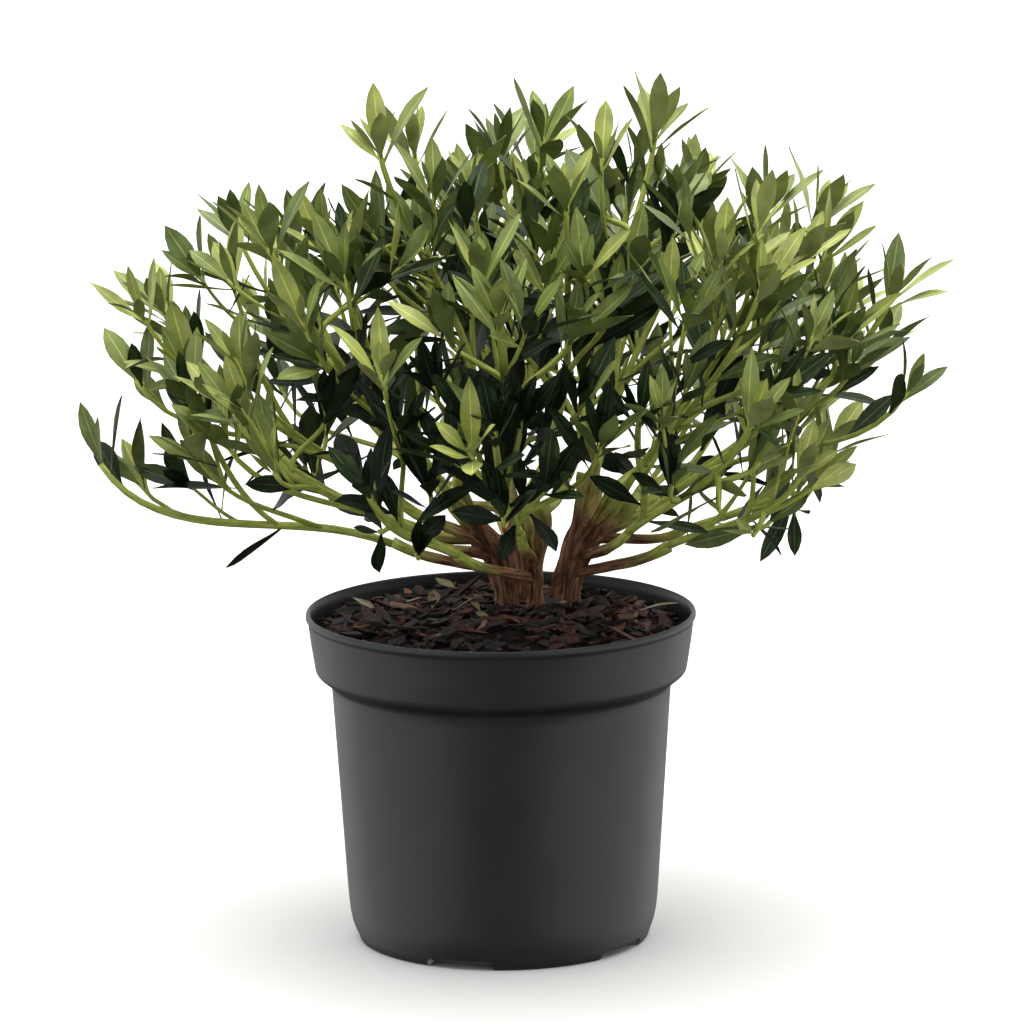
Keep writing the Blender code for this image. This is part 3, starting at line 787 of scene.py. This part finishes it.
# Twigs: finer shoots that fork from the leaders and side shoots, inside the mass's own space
def growTwigs(s, p, shoots, holds, rng):
    twigs = []
    inLine, upwards = s["twigTurn"]
    middle, atSides = s["twigChance"]
    for shoot in shoots:
        bough = shoot["bough"]
        chance = middle + (atSides - middle) * bough["aside"]
        roll = rng.uniform(0, math.tau)
        for share in s["twigPlaces"][shoot["kind"]]:
            roll += goldenAngle
            root, heading = along(shoot["curve"], share)
            angle = math.radians(rng.uniform(*s["twigAngle"]))
            across = Matrix.Rotation(roll, 3, heading) @ heading.orthogonal().normalized()
            towards = (heading * math.cos(angle) + across * math.sin(angle)).normalized()
            end = root + rng.uniform(*s["twigLength"]) * (towards + s["twigLift"] * up).normalized()
            high = end.z > leafFloor(p, bough, end) + s["twigClearance"]
            tests = [root.lerp(end, place) for place in s["twigTests"]]
            clear = high and holds(tests, s["twigRoom"])
            if rng.random() < chance and clear:
                curve = bezier(root, towards, end, towards + inLine * heading + upwards * up, steps=6)
                twigs.append({"kind": "twig", "curve": curve, "radii": s["twigRadii"], "bough": bough})
    return twigs


# Limbs and shoots are rings carried along a curve, with lengthwise ridges pressed into them
limbSet = {
    "stemRadii": (6.2 * mm, 4.2 * mm, 4.0 * mm, 3.8 * mm, 3.7 * mm, 3.5 * mm, 3.4 * mm, 3.2 * mm, 3.1 * mm),
    "boughRadii": (2.7 * mm, 2.4 * mm, 2.2 * mm, 2.1 * mm, 2.1 * mm),
    "stemSteps": 22,
    "buried": 4 * mm,
    "sides": {"stem": 24, "bough": 14, "shoot": 8},
    "ridges": {"stem": 0.24, "bough": 0.16, "shoot": 0.14},  # height as a share of the radius
    "ridgeSizes": ((2.1, 1), (4.7, 0.6)),  # how many to a radius, and their share of the height
    "ridgeTwist": 2.2,  # how many radii the ridges' pattern moves on from one end to the other
    "ridgeShift": 300,  # to a metre: sets the pattern of each limb off from the others
    "grainShift": 20,  # the same for the bark's pattern
}


# The vector grain lays the bark's pattern round and along each limb
def addTube(bm, values, kind, curve, radii, levelFoot=False):
    tube = bmesh.new()
    grain = tube.verts.layers.float_vector.new("grain")
    sides = values["sides"][kind]
    ring = bmesh.ops.create_circle(tube, cap_ends=True, segments=sides, radius=1)["verts"]
    cap = tube.faces[:]
    turn = up.rotation_difference(up if levelFoot else curve[1] - curve[0])
    placed, climbed = Matrix.Identity(4), 0
    for number, point in enumerate(curve):
        before, after = curve[max(number - 1, 0)], curve[min(number + 1, len(curve) - 1)]
        heading = up if levelFoot and number < 2 else (after - before).normalized()
        turn = (turn @ up).rotation_difference(heading) @ turn
        share = number / (len(curve) - 1)
        place = share * (len(radii) - 1)
        lower = min(int(place), len(radii) - 2)
        radius = radii[lower] + (place - lower) * (radii[lower + 1] - radii[lower])
        seat = Matrix.Translation(point) @ turn.to_matrix().to_4x4() @ Matrix.Scale(radius, 4)
        if number:
            grown = bmesh.ops.extrude_face_region(tube, geom=cap + list(cap[0].edges))["geom"]
            ring = [item for item in grown if isinstance(item, bmesh.types.BMVert)]
            cap = [item for item in grown if isinstance(item, bmesh.types.BMFace)]
        bmesh.ops.transform(tube, matrix=seat @ placed.inverted(), verts=ring)
        placed = seat
        climbed += (point - before).length
        for vert in ring:
            around = (seat.inverted() @ vert.co).normalized()
            vert[grain] = radii[0] * around + climbed * up + values["grainShift"] * curve[0]
            spot = around + values["ridgeTwist"] * share * up + values["ridgeShift"] * curve[0]
            lift = sum(part * noise.noise(spot * rate) for rate, part in values["ridgeSizes"])
            vert.co = point + (vert.co - point) * (1 + values["ridges"][kind] * lift)
    bmesh.ops.poke(tube, faces=cap)
    bmesh.ops.recalc_face_normals(tube, faces=tube.faces)
    mesh = meshFrom(tube, "tube")
    bm.from_mesh(mesh)
    bpy.data.meshes.remove(mesh)


# The bark's age goes by the distance from the clump, with ragged patches between old and young
barkSet = {
    "browns": ((0.3, "#291910"), (0.46, "#664230"), (0.6, "#9a7053"), (0.75, "#c6a380")),
    "greens": ((0.3, "#7d8c3b"), (0.5, "#a8b251"), (0.7, "#c6cd75")),
    "fibre": (1.54 * mm, 11.1 * mm),  # across and along the limb
    "relief": mm,
    "youngFrom": 74 * mm,  # from the clump, where the bark turns green, and where all of it is green
    "youngAll": 104 * mm,
    "patch": 16.7 * mm,
    "patchSpread": 50 * mm,
}


def ageingBark(values, p):
    # Old bark, red-brown, fibrous and split lengthwise; further out it is young, waxy and yellow-green
    material, tree, shader = newMaterial("fibrousBark", roughness=0.7, specular=0.3)
    place = addNode(tree, "ShaderNodeTexCoord", {}).outputs["Object"]
    grain = addNode(tree, "ShaderNodeAttribute", {"attribute_name": "grain"}).outputs["Vector"]
    across, lengthwise = values["fibre"]
    flow = {"Scale": (1 / across, 1 / across, 1 / lengthwise)}
    flow = addNode(tree, "ShaderNodeMapping", flow, {"Vector": grain}).outputs["Vector"]
    texture = {"Scale": 1, "Detail": 6, "Roughness": 0.65}
    fibres = addNode(tree, "ShaderNodeTexNoise", texture, {"Vector": flow}).outputs["Fac"]
    browns = {"stops": linearStops(values["browns"])}
    brown = addNode(tree, "ShaderNodeValToRGB", browns, {"Fac": fibres}).outputs["Color"]
    greens = {"stops": linearStops(values["greens"])}
    green = addNode(tree, "ShaderNodeValToRGB", greens, {"Fac": fibres}).outputs["Color"]
    far = addNode(tree, "ShaderNodeVectorMath", {"operation": "DISTANCE", 1: p["clump"]}, {0: place})
    patches = {"Scale": 1 / values["patch"], "Detail": 3}
    patchy = addNode(tree, "ShaderNodeTexNoise", patches, {"Vector": place}).outputs["Fac"]
    spread = {"operation": "MULTIPLY_ADD", 1: values["patchSpread"]}
    patchy = addNode(tree, "ShaderNodeMath", spread, {0: patchy, 2: far.outputs["Value"]}).outputs[0]
    age = {"From Min": values["youngFrom"], "From Max": values["youngAll"]}
    age = addNode(tree, "ShaderNodeMapRange", age, {"Value": patchy}).outputs["Result"]
    colour = addNode(tree, "ShaderNodeMix", {"data_type": "RGBA"}, {0: age, 6: brown, 7: green}).outputs[2]
    relief = {"Strength": 0.6, "Distance": values["relief"]}
    bump = addNode(tree, "ShaderNodeBump", relief, {"Height": fibres})
    tree.links.new(colour, shader.inputs["Base Color"])
    tree.links.new(bump.outputs["Normal"], shader.inputs["Normal"])
    return material


def makeLimbs(values, bark, stems, boughs):
    bm = bmesh.new()
    bm.verts.layers.float_vector.new("grain")
    for stem in stems:
        buried = [stem["path"][0] - values["buried"] * up]
        steps = values["stemSteps"]
        fine = [along(stem["curve"], step / steps)[0] for step in range(steps + 1)]
        addTube(bm, values, "stem", buried + fine, values["stemRadii"], levelFoot=True)
    for bough in boughs:
        addTube(bm, values, "bough", bough["curve"], values["boughRadii"])
    addPiece("woodyStems", meshFrom(bm, "woodyStems"), [bark], limbNodes)


def makeShoots(values, bark, shoots):
    bm = bmesh.new()
    bm.verts.layers.float_vector.new("grain")
    for shoot in shoots:
        addTube(bm, values, "shoot", shoot["curve"], shoot["radii"])
    addPiece("youngShoots", meshFrom(bm, "youngShoots"), [bark], massNodes)


# Leaves: blades with a wedge-shaped foot, folded along a pale midrib, with a duller underside
leafSet = {
    "length": 36 * mm,
    "stations": 7,
    "stalk": 0.07,  # share of the length
    "stalkRadius": 0.6 * mm,
    "ribHalf": 0.06,  # share of the half-width
    "foldPlace": 0.55,  # share of the half-width, for one more row of points above
    "tapers": (1.15, 0.82),  # slimmer towards the stalk, fuller towards the tip
    "leastHalf": 0.04 * mm,
    "waveHeight": 0.4 * mm,
    "waves": (7, 2),  # radians along the blade and out to its edge
    "thickness": 0.35 * mm,
    "faceUp": 0.3,  # how far the upper face turns from its shoot's line to the sky
    "shapes": (  # width in mm, widest place, fold, bend
        (9.0, 0.55, 0.18, -0.06),
        (8.3, 0.57, 0.26, 0.03),
        (10.0, 0.58, 0.10, -0.10),
        (7.8, 0.52, 0.24, -0.03),
        (9.3, 0.54, 0.07, 0.05),
        (10.5, 0.60, 0.16, -0.15),
    ),
}


# The stalk's end is at the origin, the blade runs along Z and its upper face looks along +Y
def leafTemplate(values, width, widest, fold, bend):
    length, rib, half = values["length"], values["ribHalf"], values["foldPlace"]
    stalkTaper, tipTaper = values["tapers"]
    lengthwise, outwards = values["waves"]
    power = math.log(0.5) / math.log(widest)

    def halfWidth(t):
        blade = max(0, (t - values["stalk"]) / (1 - values["stalk"]))
        swell = math.sin(math.pi * min(1, blade) ** power)
        taper = stalkTaper if blade < widest else tipTaper
        stalk = values["stalkRadius"] * (1 - t)
        return stalk + width * mm / 2 * max(0, swell) ** taper + values["leastHalf"]

    bm = bmesh.new()
    for places, under in (((-1, -half, -rib, rib, half, 1), False), ((-1, 0, 1), True)):
        strips = len(places) - 1
        new = bmesh.ops.create_grid(bm, x_segments=strips, y_segments=values["stations"], size=1)["verts"]
        for vert in new:
            u = places[round((vert.co.x + 1) / 2 * strips)]
            t = (vert.co.y + 1) / 2
            across = u * halfWidth(t)
            wave = values["waveHeight"] * math.sin(lengthwise * t + outwards * u) * abs(u)
            rise = fold * abs(across) + bend * length * t * t + wave
            if under and u == 0:
                rise -= values["thickness"]
            vert.co = (across, rise, t * length)
        for face in {face for vert in new for face in vert.link_faces}:
            middle = sum(vert.co.x for vert in face.verts)
            onRib = not under and abs(middle) < 0.01 * mm
            face.material_index = 2 if under else int(onRib)
            if under:
                face.normal_flip()
    bmesh.ops.remove_doubles(bm, verts=bm.verts, dist=0.0005 * mm)
    bmesh.ops.recalc_face_normals(bm, faces=bm.faces)
    for edge in bm.edges:
        edge.smooth = len({face.material_index == 2 for face in edge.link_faces}) == 1
    return asTemplate(bm)


# Where leaves grow: a spiral up each shoot that closes into a rosette at its tip
leafingSet = {
    "seed": 7,
    "spacing": {"leader": 14.5 * mm, "side": 13.5 * mm, "twig": 11 * mm},
    "bareShare": {"leader": 0.14, "side": 0.2, "twig": 0.35},
    "rosette": {"leader": 8, "side": 7, "twig": 6},
    "tipGap": 10 * mm,  # the spiral stops here, and the rosette has the rest
    "rosetteDepth": 9 * mm,
    "uneven": (0.75, 1.3),
    "sizes": (0.78, 1.2),
    "innerLoss": 0.42,  # the rosette's inmost leaf is smaller by this share
    "angles": (60, 44),  # from the shoot's line, low on it and at its tip
    "closing": 24,  # degrees, from the rosette's outer leaves to its inmost one
    "angleSpread": 8,
    "turnSpread": 0.25,
    "lifts": (0, 0.2),
    "twist": 0.2,
    "lowPolar": math.radians(51),  # masses that lean out further than this are thinner
    "lowSpacing": 1.4,  # times the spacing there
    "middleSpacing": 0.85,  # times the spacing in front and behind, and how much more at the sides
    "sidesSparser": 0.9,
    "rosetteLoss": 1.3,  # leaves fewer at the sides
    "pastTip": 32 * mm,  # the crown's skin is this far past its shoots
    "sprayBare": {"leader": 0.68, "side": 0.34, "twig": 0.35},  # on the hanging spray
    # Painted shade and light: the crown's heart and low left are dealt darker leaves, old ones with painted
    # shade on them, and its low right brighter ones painted as sunlit; middle and size in mm, then how much
    # darker
    "shades": (
        ((0, -60, 266), (98, 115, 80), 0.95),
        ((-92, -50, 222), (88, 90, 50), 0.8),
        ((104, -70, 224), (96, 100, 62), -0.3),
    ),
}


def leafOn(root, heading, turn, angle, size, lift, twist):
    across = Matrix.Rotation(turn, 3, heading) @ heading.orthogonal().normalized()
    blade = (heading * math.cos(angle) + across * math.sin(angle) + lift * up).normalized()
    face = heading + leafSet["faceUp"] * up
    face = Matrix.Rotation(twist, 3, blade) @ (face - blade * face.dot(blade)).normalized()
    rotation = Matrix((face.cross(blade).normalized(), face, blade)).transposed()
    return Matrix.Translation(root) @ rotation.to_4x4() @ Matrix.Scale(size, 4)


# A site is its share of the shoot's length and how far in it is in the rosette, from 0 to 1
def leafSites(values, shoot, rng):
    kind, bough = shoot["kind"], shoot["bough"]
    length = sum((b - a).length for a, b in zip(shoot["curve"], shoot["curve"][1:]))
    place = values["bareShare"][kind] * length
    wider = values["lowSpacing"] if bough["polar"] > values["lowPolar"] else 1
    if bough["hangs"]:
        place, wider = values["sprayBare"][kind] * length, 1
    wider *= values["middleSpacing"] + values["sidesSparser"] * bough["aside"]
    sites = []
    while place < length - values["tipGap"]:
        sites.append((place / length, 0))
        place += wider * values["spacing"][kind] * rng.uniform(*values["uneven"])
    count = values["rosette"][kind] - round(values["rosetteLoss"] * bough["aside"])
    for number in range(count):
        down = values["rosetteDepth"] * (1 - number / count)
        sites.append((1 - down / length, (number + 1) / count))
    return sites


def shadeAt(values, point):
    shade = 0
    for middle, size, darker in values["shades"]:
        gap = Vector(a / b for a, b in zip(point / mm - Vector(middle), size)).length
        shade += darker * max(0, 1 - gap) ** 0.5
    return shade


def dealLeaves(values, p, shoots, rng):
    leaves = []
    low, high = values["angles"]
    mostTurn, mostAngle = values["turnSpread"], values["angleSpread"]
    for shoot in shoots:
        bough = shoot["bough"]
        turn = rng.uniform(0, math.tau)
        sites = leafSites(values, shoot, rng)
        tone = rng.uniform(-1, 1)
        for share, inner in sites:
            turn += goldenAngle + rng.uniform(-mostTurn, mostTurn)
            root, heading = along(shoot["curve"], share)
            angle = low + (high - low) * share - values["closing"] * inner
            angle = math.radians(angle + rng.uniform(-mostAngle, mostAngle))
            size = rng.uniform(*values["sizes"]) * (1 - values["innerLoss"] * inner**3)
            lift, twist = rng.uniform(*values["lifts"]), rng.gauss(0, values["twist"])
            matrix = leafOn(root, heading, turn, angle, size, lift, twist)
            tip = matrix @ Vector((0, 0, leafSet["length"]))
            if tip.z > leafFloor(p, bough, tip):
                # painted shade: leaves deep inside the crown score low and are dealt darker colours
                depth = (tip - p["clump"]).length / (bough["reach"] + values["pastTip"])
                # painted shade and light: the shades lower or raise the score where they lie
                depth -= shadeAt(values, tip)
                leaves.append({"matrix": matrix, "tip": tip, "tone": tone, "inner": inner, "depth": depth})
    return leaves


# From Sunlit to Deep the colours run from painted light to painted shade, and in part from young leaves to
# old ones
leafColours = {  # upper face, midrib, underside
    "Sunlit": ("#99a150", "#c6ca84", "#959d60"),
    "Fresh": ("#7b8842", "#adb371", "#7c8a4f"),
    "Olive": ("#5a6833", "#8d9557", "#64743c"),
    "Dark": ("#26351d", "#59663f", "#384926"),
    "Deep": ("#101d0d", "#314023", "#202e19"),
    "Fallen": ("#77684a", "#978a69", "#6a5f48"),
}
leafFinish = {
    "roughness": {"Upper": 0.4, "Midrib": 0.5, "Underside": 0.6},
    "shine": 0.25,
    "shadedShine": {"Dark": 0.16, "Deep": 0.1},  # dimmer, as these leaves lie in the shade
    "mottle": 12.5 * mm,
    "mottleGains": (0.72, 1.25),
}


def livingLeaf(values, name, colour, roughness, shine):
    # A leathery leaf: waxy green above, duller below, its sunken midrib paler; a fallen one is dry and brown
    material, tree, shader = newMaterial(f"leatheryLeaf{name}", roughness, shine)
    place = addNode(tree, "ShaderNodeTexCoord", {}).outputs["Object"]
    texture = {"Scale": 1 / values["mottle"], "Detail": 3}
    mottle = addNode(tree, "ShaderNodeTexNoise", texture, {"Vector": place}).outputs["Fac"]
    dark, pale = values["mottleGains"]
    stops = ((0.32, linearColour(colour, dark)), (0.68, linearColour(colour, pale)))
    tint = addNode(tree, "ShaderNodeValToRGB", {"stops": stops}, {"Fac": mottle}).outputs["Color"]
    tree.links.new(tint, shader.inputs["Base Color"])
    return material


def leafMaterials(values, name):
    shine = values["shadedShine"].get(name, values["shine"])
    finishes = zip(values["roughness"].items(), leafColours[name])
    return [livingLeaf(values, name + face, colour, dull, shine) for (face, dull), colour in finishes]


# A leaf's score: its depth from the clump to the crown's skin, and what else makes it brighter. Its depth
# and how far up from the clump it lies paint shade deep inside and light high up; its shoot's tone and the
# rosette's young heart are the leaves' own colour
ageAndShadeSet = {
    # upperGain is painted light: leaves high over the clump are dealt brighter colours
    "upperGain": 0.06,
    "shootGain": 0.13,
    "innerGain": 0.06,
    "spread": 0.11,
    "limits": {"Sunlit": 1.06, "Fresh": 0.97, "Olive": 0.87, "Dark": 0.73},
    "lowest": "Deep",
}


# Painted light and shade: leaves near the crown's skin are yellower, and those deep inside are nearly black
def pickColour(values, p, leaf, rng):
    score = leaf["depth"] + values["upperGain"] * (leaf["tip"] - p["clump"]).normalized().z
    brighter = values["shootGain"] * leaf["tone"] + values["innerGain"] * leaf["inner"]
    score += brighter + rng.uniform(-values["spread"], values["spread"])
    for name, limit in values["limits"].items():
        if score > limit:
            return name
    return values["lowest"]


def makeLeaves(p, masses):
    rng = random.Random(leafingSet["seed"])
    templates = [leafTemplate(leafSet, *shape) for shape in leafSet["shapes"]]
    groups = {name: [] for name in leafColours if name != "Fallen"}
    for shoots in masses:
        for leaf in dealLeaves(leafingSet, p, shoots, rng):
            name = pickColour(ageAndShadeSet, p, leaf, rng)
            groups[name].append((rng.choice(templates), leaf["matrix"], 0))
    for name, copies in groups.items():
        piece = f"leaves{name}"
        addPiece(piece, joinCopies(piece, copies), leafMaterials(leafFinish, name), massNodes)
    print("leaves:", {name: len(copies) for name, copies in groups.items()})


# A few dry leaves lie on the compost
fallenSet = {
    "seed": 31,
    "count": 12,
    "edge": 0.82,  # share of the compost's radius
    "above": 2 * mm,
    "sizes": (0.5, 0.78),
    "leans": (76, 88),  # degrees from the vertical
    "twist": 0.25,
}


def makeFallenLeaves(values, c):
    rng = random.Random(values["seed"])
    templates = [leafTemplate(leafSet, *shape) for shape in leafSet["shapes"]]
    copies = []
    for number in range(values["count"]):
        angle = rng.uniform(0, math.tau)
        radius = values["edge"] * c["edge"] * math.sqrt(rng.random())
        x, y = radius * math.cos(angle), radius * math.sin(angle)
        root = Vector((x, y, compostHeight(c, x, y) + values["above"]))
        lean = math.radians(rng.uniform(*values["leans"]))
        turn = rng.uniform(0, math.tau)
        size, twist = rng.uniform(*values["sizes"]), rng.gauss(0, values["twist"])
        matrix = leafOn(root, up, turn, lean, size, 0, twist)
        copies.append((rng.choice(templates), matrix, 0))
    mesh = joinCopies("fallenLeaves", copies)
    addPiece("fallenLeaves", mesh, leafMaterials(leafFinish, "Fallen"))


# Everything is made here
makeCamera(cameraSet)
makeStudio(studioSet)
print("camera and studio made")
makePot(potSet)
print("pot made")
makeCompost(compostSet, potSet)
makeChips(chipSet, compostSet)
print("compost and chips made")

stems = growStems(plan)
boughs = growBoughs(plan, stems)
limbs = limbTree(boughs)
bark = ageingBark(barkSet, plan)
makeLimbs(limbSet, bark, stems, boughs)
print("stems and boughs made")

masses = []
for number, bough in enumerate(boughs, 1):
    holds = spaceOf(plan, bough, boughs, limbs)
    shoots = growShoots(shootSet, plan, bough, holds, random.Random(plan["seed"] + number))
    shoots += growTwigs(shootSet, plan, shoots, holds, random.Random(shootSet["twigSeed"] + number))
    masses.append(shoots)
makeShoots(limbSet, bark, [shoot for shoots in masses for shoot in shoots])
print("shoots made:", sum(len(shoots) for shoots in masses))
makeLeaves(plan, masses)
makeFallenLeaves(fallenSet, compostSet)
print("fallen leaves made")
